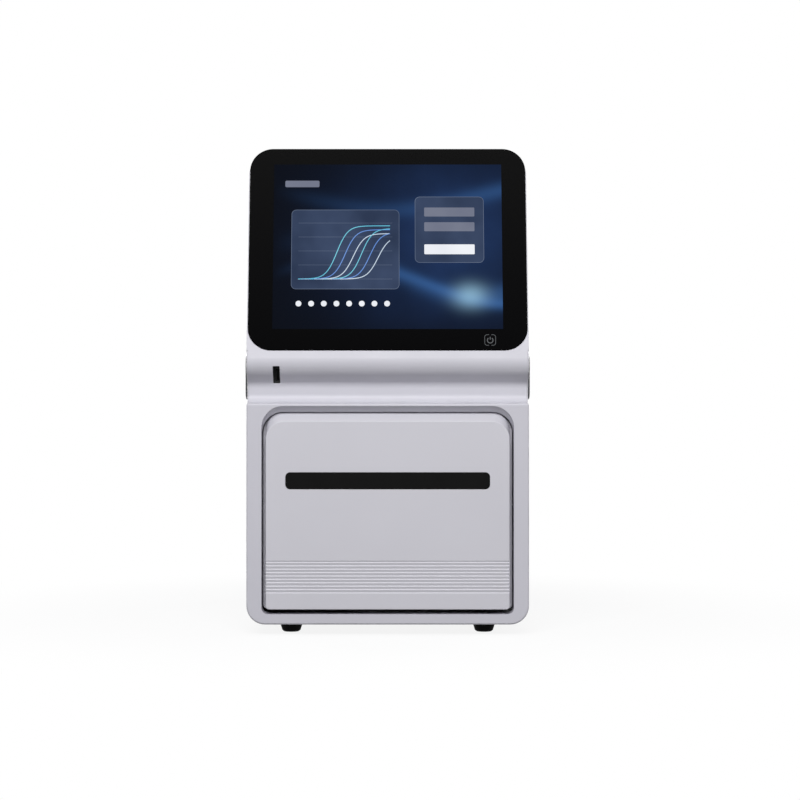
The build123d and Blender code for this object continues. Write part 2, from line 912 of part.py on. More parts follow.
def drive_nut():
    half = nut_width / 2
    nut = block(screw_x - half, screw_x + half, nut_y, nut_y + nut_length, screw_z - half, carriage_low)
    return nut - rod_along_y(screw_x, screw_z, nut_y - 1, nut_y + nut_length + 1, screw_diameter + 2 * fit)


def drive_screw():
    screw = rod_along_y(screw_x, screw_z, bearing_front_y + 1, bearing_back_y + bearing_length, screw_diameter)
    return chamfer(screw.edges().filter_by(GeomType.CIRCLE), screw_chamfer)


def bearing(y0):
    half = bearing_width / 2
    stand = block(screw_x - half, screw_x + half, y0, y0 + bearing_length,
                  floor_top + sheet, screw_z + bearing_crown)
    stand = fillet(stand.edges().filter_by(Axis.Y).group_by(Axis.Z)[-1], bearing_round)
    return stand - rod_along_y(screw_x, screw_z, y0 - 1, y0 + bearing_length + 1, screw_diameter + 2 * fit)


def drive_bearings():
    return bearing(bearing_front_y) + bearing(bearing_back_y)


def motor_body():
    body = Box(motor_size, motor_size, motor_length)
    return chamfer(body.edges().filter_by(Axis.Z), motor_size * 0.12)


def drive_motor():
    y = bearing_back_y + bearing_length
    body = Pos(screw_x, y + motor_length / 2, screw_z) * Rot(90, 0, 0) * motor_body()
    return body - rod_along_y(screw_x, screw_z, y - 1, y + motor_boss, screw_diameter + 2)


# The head's plate, with a shelf for its motor and a foot that carries the end of the screw
def head_bridge():
    back = bridge_y + bridge_thick
    plate = block(-upright_in, upright_in, bridge_y, back, bridge_low, deck_z)
    notch = motor_size / 2 + 2
    left, right = head_screw_x - notch, head_screw_x + notch
    plate -= block(left, right, bridge_y - 1, back + 1, motor_low, deck_z + 1)
    plate += block(left, right, bridge_y - motor_shelf_reach, back, motor_low - motor_shelf_thick, motor_low)
    plate -= post(head_screw_x, head_screw_y, motor_low - motor_shelf_thick - 1, motor_low + 1,
                  motor_shelf_hole)
    half = bearing_width / 2
    plate += block(head_screw_x - half, head_screw_x + half, head_back_y + fit, bridge_y,
                   head_foot_z, head_foot_z + bearing_length)
    return plate - post(head_screw_x, head_screw_y, head_foot_z + 2, head_foot_z + bearing_length + 1,
                        head_screw_diameter + 2 * fit)


def head_rail():
    rail = block(-rail_width / 2, rail_width / 2, rail_y, bridge_y, bridge_low + rail_end,
                 holder_low + head_plate_height)
    return chamfer(rail.edges().filter_by(Axis.Z).group_by(Axis.Y)[0], rail_chamfer)


def head_carriage():
    half = block_half - head_side
    plate = block(-half, half, head_back_y - head_plate_thick, head_back_y,
                  holder_low, holder_low + head_plate_height)
    plate = fillet(plate.edges().filter_by(Axis.Y), head_plate_round)
    low = holder_low + slider_rise
    slider = block(-slider_width / 2, slider_width / 2, head_back_y, bridge_y - slider_gap,
                   low, low + slider_height)
    groove = rail_width / 2 + fit
    return plate + slider - block(-groove, groove, rail_y - fit, bridge_y, low - 1, low + slider_height + 1)


def head_nut():
    low = holder_low + head_nut_rise
    half = nut_width / 2
    nut = block(head_screw_x - half, head_screw_x + half, head_back_y, bridge_y - 1, low, low + head_nut_height)
    return nut - post(head_screw_x, head_screw_y, low - 1, low + head_nut_height + 1,
                      head_screw_diameter + 2 * fit)


def head_screw():
    return post(head_screw_x, head_screw_y, head_foot_z + 2 + fit, motor_low, head_screw_diameter)


def head_motor():
    body = Pos(head_screw_x, head_screw_y, motor_low + motor_length / 2) * motor_body()
    return body - post(head_screw_x, head_screw_y, motor_low - 1, motor_low + motor_boss,
                       head_screw_diameter + 2)


def rod_holder():
    half = lane_x(lane_count - 1) + rod_bar_end
    front = rod_y - holder_thick / 2
    bar = block(-half, half, front, head_back_y - head_plate_thick, holder_low, holder_low + holder_height)
    return chamfer(bar.edges().group_by(Axis.Y)[0].filter_by(Axis.X), holder_chamfer)


def magnet_rods():
    rods = []
    for index in range(lane_count):
        rod = post(lane_x(index), rod_y, rod_low, holder_low, rod_diameter)
        rods.append(chamfer(rod.edges().group_by(Axis.Z)[0], rod_point))
    return rods


def lid_guide():
    back = bridge_y + bridge_thick
    half = block_half - shelf_side
    shelf = block(-half, half, back, tube_y + lid_length / 2 + 2 * lid_round, shelf_z, shelf_z + shelf_thick)
    shelf += block(-half, half, back, back + shelf_thick, shelf_z - shelf_foot, shelf_z)
    for x in (-post_x, post_x):
        shelf += post(x, tube_y, lid_low - sheet, shelf_z, post_diameter)
    return shelf - post(0, tube_y, shelf_z - 1, shelf_z + shelf_thick + 1, lid_rod_diameter + 2)


# The lid hangs on its rod; two bosses run on the guide's posts
def heated_lid():
    lid = block(-block_half, block_half, tube_y - lid_length / 2, tube_y + lid_length / 2, lid_low, lid_top)
    lid = fillet(lid.edges().filter_by(Axis.Z), lid_round)
    lid += post(0, tube_y, lid_top, shelf_z + lid_travel + lid_rod_rise, lid_rod_diameter)
    for x in (-post_x, post_x):
        lid += post(x, tube_y, lid_top, lid_top + lid_boss_height, lid_boss_diameter)
        lid -= post(x, tube_y, lid_low - 1, lid_top + lid_boss_height + 1, post_diameter + 2 * fit)
    return lid


def lid_actuator():
    low = shelf_z + shelf_thick
    half = actuator_width / 2
    body = block(-half, half, tube_y - half, tube_y + half, low, low + actuator_height)
    body = chamfer(body.edges().filter_by(Axis.Z), actuator_chamfer)
    return body - post(0, tube_y, low - 1, low + actuator_bore, lid_rod_diameter + 2 * fit)


def thermal_block():
    y0, y1 = tube_y - block_length / 2, tube_y + block_length / 2
    metal = block(-block_half, block_half, y0, y1, peltier_top, block_top)
    for index in range(lane_count):
        well = Cone(well_bottom / 2, well_top / 2, well_depth)
        metal -= Pos(lane_x(index), tube_y, block_top - well_depth / 2) * well
    return metal


def peltier_modules():
    modules = []
    pitch = 2 * block_half / peltier_count
    half = (pitch - peltier_gap) / 2
    for index in range(peltier_count):
        x = (index - (peltier_count - 1) / 2) * pitch
        modules.append(block(x - half, x + half, tube_y - peltier_length / 2, tube_y + peltier_length / 2,
                             sink_top, peltier_top))
    return modules


def heat_sink():
    sink = block(-block_half, block_half, sink_front, sink_back, fin_top, sink_top)
    for index in range(fin_count):
        x = (index - (fin_count - 1) / 2) * fin_pitch
        sink += block(x - fin_thick / 2, x + fin_thick / 2, sink_front, sink_back, sink_low, fin_top)
    return sink


def thermal_frame():
    y0, y1 = sink_front + frame_inset, sink_back - frame_inset
    frame = block(-block_half, block_half, y0, y1, sink_low - sheet, sink_low)
    for side in (-1, 1):
        leg = sorted((side * block_half, side * (block_half - sheet)))
        lug = sorted((side * block_half, side * (block_half - frame_lug)))
        frame += block(*leg, y0, y1, floor_top, sink_low)
        frame += block(*lug, y0, y1, floor_top, floor_top + sheet)
    return frame


def optics_bar():
    y0 = tube_y + block_length / 2 + optics_gap
    bar = block(-block_half, block_half, y0, y0 + optics_length, sink_top, block_top + 2)
    bar = chamfer(bar.edges().filter_by(Axis.X).group_by(Axis.Z)[-1], optics_chamfer)
    middle = peltier_top + block_height / 2
    for index in range(lane_count):
        bar -= rod_along_y(lane_x(index), middle, y0 - 1, y0 + optics_hole, optics_hole)
    return bar


# An axial fan drawn on its own axis, air leaving along +Z, mouth at the origin
def fan_frame(size, depth):
    frame = Pos(0, 0, depth / 2) * Box(size, size, depth)
    frame = fillet(frame.edges().filter_by(Axis.Z), size * 0.06)
    frame -= Pos(0, 0, depth / 2) * Cylinder(size * 0.475, depth + 2)
    eye = size * fan_eye
    for x in (-eye, eye):
        for y in (-eye, eye):
            frame -= Pos(x, y, depth / 2) * Cylinder(size * 0.026, depth + 2)
    hub = Pos(0, 0, fan_hub / 2) * Cylinder(size * 0.19, fan_hub)
    for turn in (45, 135):
        hub += Rot(0, 0, turn) * Pos(0, 0, fan_hub * 0.4) * Box(size * 0.98, fan_hub, fan_hub * 0.8)
    return frame + hub


def fan_rotor(size, depth):
    base = fan_hub + fit
    middle = (base + depth) / 2
    rotor = Pos(0, 0, middle) * Cylinder(size * 0.2, depth - base)
    reach = Pos(0, 0, middle) * Cylinder(size * 0.455, depth - base)
    for index in range(fan_blades):
        blade = Pos(size * 0.3, 0, middle) * Rot(fan_pitch, 0, 0) * Box(size * 0.34, size * 0.3, fan_blade)
        rotor += Rot(0, 0, index * 360 / fan_blades) * (blade & reach)
    return rotor


def sink_fan_place(shape):
    return Pos(0, sink_fan_y, sink_fan_z) * Rot(90, 0, 0) * shape


def exhaust_fan_place(shape):
    return Pos(exhaust_x, panel_y, exhaust_z) * Rot(90, 0, 0) * shape


def fan_guard():
    guard = Circle(guard_pitch / 2)
    for index in range(guard_rings):
        radius = (index + 1.5) * guard_pitch
        guard += Circle(radius + guard_wire / 2) - Circle(radius - guard_wire / 2)
    eye = exhaust_size * fan_eye
    for turn in (45, 135):
        guard += Rot(0, 0, turn) * Rectangle(2 * sqrt(2) * eye, guard_wire)
    for x in (-eye, eye):
        for z in (-eye, eye):
            guard += Pos(x, z) * Circle(guard_eye / 2)
    return along_depth(Pos(exhaust_x, exhaust_z) * guard, panel_face, panel_face + guard_wire)


def power_supply():
    x0 = low_radius - half_width + supply_side
    x1 = x0 + supply_width
    y0 = sink_fan_y + supply_front_gap
    y1 = panel_face - inlet_depth - inlet_flange_thick - supply_rear_gap
    top = floor_top + supply_height
    case = block(x0, x1, y0, y1, floor_top, top)
    case = chamfer(case.edges().filter_by(Axis.Y).group_by(Axis.Z)[-1], supply_chamfer)
    pitch = (y1 - y0) / (supply_slots + 2)
    for index in range(supply_slots):
        y = y0 + (index + 1.5) * pitch
        case -= block(x0 + supply_side, x1 - supply_side, y - supply_slot_width / 2, y + supply_slot_width / 2,
                      top - supply_slot_depth, top + 1)
    return case


def inlet_outline(grow):
    half = (inlet_width / 2 + grow, inlet_height / 2 + grow)
    return rounded_panel(inlet_x - half[0], inlet_x + half[0], inlet_z - half[1], inlet_z + half[1],
                         inlet_round, inlet_round)


# Mains inlet with the rocker's frame above it, in one moulding
def mains_inlet():
    face = panel_face
    body = along_depth(inlet_outline(0), face - inlet_depth - inlet_flange_thick, face)
    body += along_depth(inlet_outline(inlet_flange), face, face + inlet_flange_thick)
    low = inlet_z - inlet_height / 2 + inlet_mouth_rise
    half = inlet_mouth_width / 2
    mouth = Pos(inlet_x, low + inlet_mouth_height / 2) * Rectangle(2 * half, inlet_mouth_height)
    mouth = chamfer(mouth.vertices().group_by(Axis.Y)[-1], inlet_mouth_cut)
    body -= along_depth(mouth, face - inlet_mouth_depth, face + 2 * inlet_flange_thick)
    half_w, half_h = rocker_width / 2 + fit, rocker_height / 2 + fit
    body -= block(inlet_x - half_w, inlet_x + half_w, face - 2 * rocker_depth, face + 2 * inlet_flange_thick,
                  rocker_z - half_h, rocker_z + half_h)
    middle = low + inlet_mouth_height / 2
    for x, z in ((-pin_side, -pin_width), (0, pin_width), (pin_side, -pin_width)):
        body += block(inlet_x + x - pin_width / 2, inlet_x + x + pin_width / 2,
                      face - inlet_mouth_depth - 1, face - inlet_mouth_depth + pin_length,
                      middle + z - pin_height / 2, middle + z + pin_height / 2)
    return body


# The rocker lies with its lower end pressed in: off
def power_rocker():
    half_h = rocker_height / 2
    root = half_h * rocker_taper
    side_view = Polygon((panel_face - rocker_depth, -root), (panel_face, rocker_low_set - half_h),
                        (panel_face + rocker_low_set, 0), (panel_face + rocker_swell, half_h - rocker_high_set),
                        (panel_face - rocker_depth, root), align=None)
    return Pos(0, 0, rocker_z) * along_width(side_view, inlet_x - rocker_width / 2, inlet_x + rocker_width / 2)


# The outlines of the three ports on their board: middle, width and height
def port_places():
    network = (ports_x - network_side, network_width, network_height)
    return [network, (ports_x, usb_width, usb_height), (ports_x + usb_step, usb_width, usb_height)]


def port_box(place, y0, y1, inset):
    x, width, height = place
    return block(x - width / 2 + inset, x + width / 2 - inset, y0, y1,
                 ports_z + inset, ports_z + height - inset)


# A network port and two service ports on one small board, all in one cutout of the panel
def data_ports():
    reach = panel_face + port_proud
    ports = block(ports_x - port_board_half, ports_x + port_board_half, panel_face - ports_depth - sheet,
                  panel_face - sheet, ports_z - sheet, ports_z)
    network, *service = port_places()
    ports += port_box(network, panel_face - ports_depth, reach, 0)
    ports -= port_box(network, panel_face - port_mouth, reach + 1, network_wall)
    for place in service:
        ports += port_box(place, panel_face - ports_depth, reach, 0)
        ports -= port_box(place, panel_face - port_mouth, reach + 1, usb_wall)
        half = usb_width / 2 - 2 * usb_wall
        middle = ports_z + usb_height * 0.7
        ports += block(place[0] - half, place[0] + half, panel_face - port_mouth - 1, panel_face - 1,
                       middle - usb_wall, middle + usb_wall)
    return ports


def screw_places():
    low, high = body_low + screw_end, body_high - screw_end
    places = []
    for x in (screw_side - half_width, half_width - screw_side):
        for share in (0, 0.4, 0.7, 1):
            places.append((x, low + share * (high - low)))
    return places


def rear_panel():
    y0, y1 = panel_y, panel_face
    panel = along_depth(body_outline(cover_wall + fit), y0, y1)
    panel -= rod_along_y(exhaust_x, exhaust_z, y0 - 1, y1 + 1, exhaust_size * 0.94)
    panel -= along_depth(inlet_outline(fit), y0 - 1, y1 + 1)
    left = min(x - width / 2 for x, width, height in port_places()) - port_clear
    right = max(x + width / 2 for x, width, height in port_places()) + port_clear
    panel -= block(left, right, y0 - 1, y1 + 1,
                   ports_z - sheet - port_clear, ports_z + network_height + port_clear)
    for index in range(rear_vent_count):
        z = body_high - rear_vent_drop + index * rear_vent_pitch
        slot = Pos(rear_vent_side - half_width, z) * Rectangle(rear_vent_length, vent_width)
        panel -= along_depth(slot, y0 - 1, y1 + 1)
    for x, z in screw_places():
        panel -= rod_along_y(x, z, y0 - 1, y1 + 1, screw_hole)
    return panel


# Hexagon-head screws through the panel's holes
def cover_screws():
    screws = []
    for x, z in screw_places():
        head = Pos(x, z) * RegularPolygon(screw_head / 2, 6)
        screw = along_depth(head, panel_face, panel_face + screw_head_height)
        screws.append(screw + rod_along_y(x, z, panel_face - screw_shank_length, panel_face, screw_shank))
    return screws


def build_all():
    foot_x = half_width - foot_side
    foot_y = rear_y - foot_inset
    return {
        "front_fascia": front_fascia(),
        "touch_glass": touch_glass(),
        "lcd_panel": lcd_panel(),
        "display_bracket": display_bracket(),
        "display_board": display_board(),
        "usb_socket": usb_socket(),
        "usb_board": usb_board(),
        "side_cover_left": side_cover(-1),
        "side_cover_right": side_cover(1),
        "waist_trim_left": waist_trim(-1),
        "waist_trim_right": waist_trim(1),
        "top_cover": top_cover(),
        "base_pan": base_pan(),
        "rear_panel": rear_panel(),
        "feet": [foot(x, y) for x in (-foot_x, foot_x) for y in (-foot_y, foot_y)],
        "upright_left": upright(-1),
        "upright_right": upright(1),
        "electronics_deck": electronics_deck(),
        "control_board": control_board(),
        "slide_outers": [slide_outer(-1), slide_outer(1)],
        "slide_middle_left": slide_middle(-1),
        "slide_middle_right": slide_middle(1),
        "slide_inner_left": slide_inner(-1),
        "slide_inner_right": slide_inner(1),
        "drawer_front": drawer_front(),
        "status_window": status_window(),
        "status_board": status_board(),
        "drawer_back": drawer_back(),
        "drawer_carriage": drawer_carriage(),
        "lane_tray": lane_tray(),
        "drive_nut": drive_nut(),
        "drive_screw": drive_screw(),
        "drive_bearings": drive_bearings(),
        "drive_motor": drive_motor(),
        "head_bridge": head_bridge(),
        "head_rail": head_rail(),
        "head_carriage": head_carriage(),
        "head_nut": head_nut(),
        "head_screw": head_screw(),
        "head_motor": head_motor(),
        "rod_holder": rod_holder(),
        "magnet_rods": magnet_rods(),
        "lid_guide": lid_guide(),
        "heated_lid": heated_lid(),
        "lid_actuator": lid_actuator(),
        "thermal_block": thermal_block(),
        "peltier_modules": peltier_modules(),
        "heat_sink": heat_sink(),
        "thermal_frame": thermal_frame(),
        "optics_bar": optics_bar(),
        "sink_fan_frame": sink_fan_place(fan_frame(sink_fan_size, sink_fan_depth)),
        "sink_fan_rotor": sink_fan_place(fan_rotor(sink_fan_size, sink_fan_depth - 1)),
        "exhaust_fan_frame": exhaust_fan_place(fan_frame(exhaust_size, exhaust_depth)),
        "exhaust_fan_rotor": exhaust_fan_place(fan_rotor(exhaust_size, exhaust_depth - 1)),
        "fan_guard": fan_guard(),
        "power_supply": power_supply(),
        "mains_inlet": mains_inlet(),
        "power_rocker": power_rocker(),
        "data_ports": data_ports(),
        "cover_screws": cover_screws(),
    }


os.makedirs("parts", exist_ok=True)
for name, shape in build_all().items():
    solids = shape if isinstance(shape, list) else [shape]
    export_step(Compound(children=[s for one in solids for s in one.solids()]), f"parts/{name}.step")
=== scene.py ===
import json
import math

import bmesh
import bpy
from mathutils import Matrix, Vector


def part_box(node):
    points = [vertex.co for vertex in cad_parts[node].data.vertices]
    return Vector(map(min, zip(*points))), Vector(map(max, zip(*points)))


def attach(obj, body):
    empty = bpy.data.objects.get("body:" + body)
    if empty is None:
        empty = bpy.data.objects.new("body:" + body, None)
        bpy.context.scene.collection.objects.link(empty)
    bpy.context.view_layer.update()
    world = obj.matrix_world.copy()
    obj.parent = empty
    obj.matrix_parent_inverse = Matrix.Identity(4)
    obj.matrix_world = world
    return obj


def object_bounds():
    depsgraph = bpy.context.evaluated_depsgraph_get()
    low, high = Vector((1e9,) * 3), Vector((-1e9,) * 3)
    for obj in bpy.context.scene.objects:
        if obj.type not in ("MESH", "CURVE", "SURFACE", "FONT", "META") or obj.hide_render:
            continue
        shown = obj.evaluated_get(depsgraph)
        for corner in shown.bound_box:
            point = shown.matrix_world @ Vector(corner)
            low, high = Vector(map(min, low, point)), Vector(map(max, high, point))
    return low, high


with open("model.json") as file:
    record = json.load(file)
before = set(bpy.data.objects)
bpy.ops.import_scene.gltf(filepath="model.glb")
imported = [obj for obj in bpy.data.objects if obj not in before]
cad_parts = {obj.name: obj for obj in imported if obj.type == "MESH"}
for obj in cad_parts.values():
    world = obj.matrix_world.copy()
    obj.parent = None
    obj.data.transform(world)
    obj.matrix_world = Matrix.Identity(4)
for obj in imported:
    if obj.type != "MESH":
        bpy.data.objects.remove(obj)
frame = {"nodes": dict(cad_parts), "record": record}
cadLow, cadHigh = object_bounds()
nodes = frame["nodes"]
mm = 0.001
white = (1, 1, 1, 1)
print("frame loaded:", len(nodes), "nodes")


def srgb(red, green, blue):
    channels = []
    for value in (red, green, blue):
        v = value / 255
        channels.append(v / 12.92 if v <= 0.04045 else ((v + 0.055) / 1.055) ** 2.4)
    return (*channels, 1.0)


def newObject(name, data):
    thing = bpy.data.objects.new(name, data)
    bpy.context.scene.collection.objects.link(thing)
    return thing


# Small helpers for node trees
def emptyTree(owner):
    owner.use_nodes = True
    owner.node_tree.nodes.clear()
    return owner.node_tree


def addNode(tree, kind, **settings):
    node = tree.nodes.new("ShaderNode" + kind)
    for key, value in settings.items():
        setattr(node, key, value)
    return node


def feed(tree, socket, value):
    if isinstance(value, bpy.types.NodeSocket):
        tree.links.new(value, socket)
    else:
        socket.default_value = value


def mathNode(tree, operation, *values):
    node = addNode(tree, "Math", operation=operation)
    for socket, value in zip(node.inputs, values):
        feed(tree, socket, value)
    return node.outputs["Value"]


def mapRange(tree, value, low, high, least=0.0, **settings):
    node = addNode(tree, "MapRange", **settings)
    node.inputs["From Min"].default_value = low
    node.inputs["From Max"].default_value = high
    node.inputs["To Min"].default_value = least
    tree.links.new(value, node.inputs["Value"])
    return node.outputs["Result"]


def mixColours(tree, factor, first, second):
    mix = addNode(tree, "Mix", data_type="RGBA")
    tree.links.new(factor, mix.inputs["Factor"])
    feed(tree, mix.inputs[6], first)  # 6, 7 and 2 are this node's colour sockets
    feed(tree, mix.inputs[7], second)
    return mix.outputs[2]


def mixShaders(tree, factor, first, second):
    mix = addNode(tree, "MixShader")
    tree.links.new(factor, mix.inputs["Fac"])
    tree.links.new(first, mix.inputs[1])
    tree.links.new(second, mix.inputs[2])
    return mix.outputs["Shader"]


def objectPlace(tree):
    return addNode(tree, "TexCoord").outputs["Object"]


def partsOf(tree, place):
    split = addNode(tree, "SeparateXYZ")
    tree.links.new(place, split.inputs["Vector"])
    return split.outputs


def noiseAt(tree, scale, detail=2.0, stretch=None):
    place = objectPlace(tree)
    if stretch:
        mapping = addNode(tree, "Mapping")
        mapping.inputs["Scale"].default_value = stretch
        tree.links.new(place, mapping.inputs["Vector"])
        place = mapping.outputs["Vector"]
    noise = addNode(tree, "TexNoise")
    noise.inputs["Scale"].default_value = scale
    noise.inputs["Detail"].default_value = detail
    tree.links.new(place, noise.inputs["Vector"])
    return noise.outputs["Fac"]


def rampOf(tree, factor, stops):
    ramp = addNode(tree, "ValToRGB")
    ramp.color_ramp.elements.remove(ramp.color_ramp.elements[1])
    for index, (spot, colour) in enumerate(stops):
        element = ramp.color_ramp.elements[0] if index == 0 else ramp.color_ramp.elements.new(spot)
        element.position = spot
        element.color = colour
    tree.links.new(factor, ramp.inputs["Fac"])
    return ramp.outputs["Color"]


patchEnds = (0.3, 0.7)  # noise values where the first tone ends and the second begins


def patches(tree, noise, first, second):
    return rampOf(tree, noise, zip(patchEnds, (first, second)))


# What every surface is made of: patches of tone, patches of gloss, and a fine relief
# over edges that catch the light as if slightly rounded
relief = {"strength": 0.35, "edgeRound": 0.4 * mm, "edgeSamples": 6}


def startMaterial(name):
    material = bpy.data.materials.new(name)
    tree = emptyTree(material)
    shader = addNode(tree, "BsdfPrincipled")
    out = addNode(tree, "OutputMaterial")
    tree.links.new(shader.outputs["BSDF"], out.inputs["Surface"])
    return material, tree, shader


def shade(colour, factor):
    return (colour[0] * factor, colour[1] * factor, colour[2] * factor, 1.0)


def mottle(tree, shader, colour, spread, scale, stretch=None):
    noise = noiseAt(tree, scale, detail=3.0, stretch=stretch)
    tones = patches(tree, noise, shade(colour, 1 - spread), shade(colour, 1 + spread))
    tree.links.new(tones, shader.inputs["Base Color"])


def varyGloss(tree, shader, low, high, scale, stretch=None):
    noise = noiseAt(tree, scale, stretch=stretch)
    gloss = patches(tree, noise, (low, low, low, 1), (high, high, high, 1))
    tree.links.new(gloss, shader.inputs["Roughness"])


def grain(tree, shader, scale, depth, stretch=None):
    bump = addNode(tree, "Bump")
    bump.inputs["Strength"].default_value = relief["strength"]
    bump.inputs["Distance"].default_value = depth
    rounded = addNode(tree, "Bevel", samples=relief["edgeSamples"])
    rounded.inputs["Radius"].default_value = relief["edgeRound"]
    tree.links.new(rounded.outputs["Normal"], bump.inputs["Normal"])
    tree.links.new(noiseAt(tree, scale, stretch=stretch), bump.inputs["Height"])
    tree.links.new(bump.outputs["Normal"], shader.inputs["Normal"])


# Moulded and painted surfaces: fine orange peel, a breath of tone, slightly uneven gloss
satin = {
    "tone": 0.012, "toneScale": 9.0, "glossSpread": 0.03, "glossScale": 40.0,
    "depth": 0.06 * mm, "shine": 0.35,
}
satinFinishes = {
    "frontPlastic": {"colour": srgb(203, 202, 210), "gloss": 0.42, "peel": 900.0},
    "drawerPlastic": {"colour": srgb(208, 207, 214), "gloss": 0.42, "peel": 900.0},
    "coverPaint": {"colour": srgb(201, 200, 208), "gloss": 0.46, "peel": 600.0},
    "rearPaint": {"colour": srgb(188, 188, 196), "gloss": 0.5, "peel": 500.0},
    "trayPlastic": {"colour": srgb(214, 216, 218), "gloss": 0.5, "peel": 700.0},
    "ceramicWhite": {"colour": srgb(226, 226, 220), "gloss": 0.6, "peel": 500.0},
}


def satinSurface(name, colour, gloss, peel):
    material, tree, shader = startMaterial(name)
    spread = satin["glossSpread"]
    mottle(tree, shader, colour, satin["tone"], satin["toneScale"])
    varyGloss(tree, shader, gloss - spread, gloss + spread, satin["glossScale"])
    grain(tree, shader, peel, satin["depth"])
    shader.inputs["Specular IOR Level"].default_value = satin["shine"]
    return material


# Bare metal: streaks along one axis, set by the stretch
brushed = {
    "tone": 0.06, "toneScale": 60.0, "glossDown": 0.06, "glossUp": 0.08, "glossScale": 90.0,
    "streaks": 220.0, "depth": 0.04 * mm,
}
brushedFinishes = {
    "chassisSteel": {"colour": srgb(176, 180, 186), "gloss": 0.38, "stretch": (1.0, 0.08, 1.0)},
    "brightSteel": {"colour": srgb(196, 196, 198), "gloss": 0.2, "stretch": (1.0, 1.0, 0.1)},
    "machinedAluminium": {"colour": srgb(196, 198, 202), "gloss": 0.34, "stretch": (0.08, 1.0, 1.0)},
    "nutBrass": {"colour": srgb(196, 158, 86), "gloss": 0.3, "stretch": (1.0, 1.0, 1.0)},
}


def brushedSurface(name, colour, gloss, stretch):
    material, tree, shader = startMaterial(name)
    mottle(tree, shader, colour, brushed["tone"], brushed["toneScale"], stretch)
    low, high = gloss - brushed["glossDown"], gloss + brushed["glossUp"]
    varyGloss(tree, shader, low, high, brushed["glossScale"], stretch)
    grain(tree, shader, brushed["streaks"], brushed["depth"], stretch)
    shader.inputs["Metallic"].default_value = 1.0
    return material


# Dark plastic, rubber and smoked windows
dark = {"tone": 0.12, "toneScale": 30.0, "glossSpread": 0.05, "glossScale": 60.0, "shine": 0.3}
darkFinishes = {
    # The trim is dark grey plastic, and its grey is set as dark as the trim looks in shade, so part of that
    # darkness is painted shade
    "trimDark": {"colour": srgb(78, 78, 82), "gloss": 0.55, "peel": 900.0, "depth": 0.08 * mm},
    "footRubber": {"colour": srgb(8, 8, 8), "gloss": 0.75, "peel": 700.0, "depth": 0.1 * mm, "shine": 0.08},
    "windowSmoke": {"colour": srgb(14, 14, 14), "gloss": 0.2, "peel": 300.0, "depth": 0.02 * mm,
                    "shine": 0.07},
    "socketBlack": {"colour": srgb(24, 24, 26), "gloss": 0.5, "peel": 800.0, "depth": 0.06 * mm},
    "fanBlack": {"colour": srgb(26, 26, 28), "gloss": 0.5, "peel": 500.0, "depth": 0.06 * mm},
    "motorBlack": {"colour": srgb(34, 34, 38), "gloss": 0.45, "peel": 700.0, "depth": 0.05 * mm},
}


def darkSurface(name, colour, gloss, peel, depth, shine=dark["shine"]):
    material, tree, shader = startMaterial(name)
    spread = dark["glossSpread"]
    mottle(tree, shader, colour, dark["tone"], dark["toneScale"])
    varyGloss(tree, shader, gloss - spread, gloss + spread, dark["glossScale"])
    grain(tree, shader, peel, depth)
    shader.inputs["Specular IOR Level"].default_value = shine
    return material


# Black glass with a painted reflection: its colour is lighter towards the top, as the leaning glass would
# mirror the brighter space above, while its real reflection is kept faint
screenGlassPaintedReflection = {
    "low": 0.30, "high": 0.52,  # heights in metres between which the painted reflection lightens
    "tones": [(0.0, srgb(1, 1, 2)), (0.5, srgb(7, 7, 8)), (1.0, srgb(14, 14, 14))],
    "gloss": (0.05, 0.09), "glossScale": 18.0, "index": 1.1, "shine": 0.06,
}


def makeScreenGlass():
    material, tree, shader = startMaterial("screenGlassPaintedReflection")
    height = mapRange(tree, partsOf(tree, objectPlace(tree))["Z"], screenGlassPaintedReflection["low"], screenGlassPaintedReflection["high"])
    # Painted reflection: the base colour lightens with height
    tree.links.new(rampOf(tree, height, screenGlassPaintedReflection["tones"]), shader.inputs["Base Color"])
    varyGloss(tree, shader, *screenGlassPaintedReflection["gloss"], screenGlassPaintedReflection["glossScale"])
    shader.inputs["IOR"].default_value = screenGlassPaintedReflection["index"]
    shader.inputs["Specular IOR Level"].default_value = screenGlassPaintedReflection["shine"]
    return material


# Green printed board: solder mask over a faint maze of tracks
board = {
    "Color1": srgb(16, 84, 46), "Color2": srgb(20, 98, 54), "Mortar": srgb(34, 124, 74),
    "scale": 240.0, "gloss": (0.3, 0.42), "glossScale": 80.0,
}


def makeBoardGreen():
    material, tree, shader = startMaterial("boardGreen")
    cells = addNode(tree, "TexBrick")
    cells.inputs["Scale"].default_value = board["scale"]
    for tone in ("Color1", "Color2", "Mortar"):
        cells.inputs[tone].default_value = board[tone]
    tree.links.new(objectPlace(tree), cells.inputs["Vector"])
    tree.links.new(cells.outputs["Color"], shader.inputs["Base Color"])
    varyGloss(tree, shader, *board["gloss"], board["glossScale"])
    return material


materials = {"screenGlassPaintedReflection": makeScreenGlass(), "boardGreen": makeBoardGreen()}
for makeSurface, finishes in ((satinSurface, satinFinishes), (brushedSurface, brushedFinishes),
                              (darkSurface, darkFinishes)):
    for name, finish in finishes.items():
        materials[name] = makeSurface(name, **finish)

# The finish of each of the record's slots
slotFinishes = {
    "front_plastic": "frontPlastic", "cover_paint": "coverPaint", "trim_dark": "trimDark",
    "screen_glass": "screenGlassPaintedReflection", "screen_panel": "motorBlack", "window_smoke": "windowSmoke",
    "drawer_plastic": "drawerPlastic", "foot_rubber": "footRubber", "chassis_steel": "chassisSteel",
    "bright_steel": "brightSteel", "machined_aluminium": "machinedAluminium", "tray_plastic": "trayPlastic",
    "board_green": "boardGreen", "motor_black": "motorBlack", "nut_brass": "nutBrass",
    "fan_black": "fanBlack", "ceramic_white": "ceramicWhite", "socket_black": "socketBlack",
    "rear_paint": "rearPaint",
}
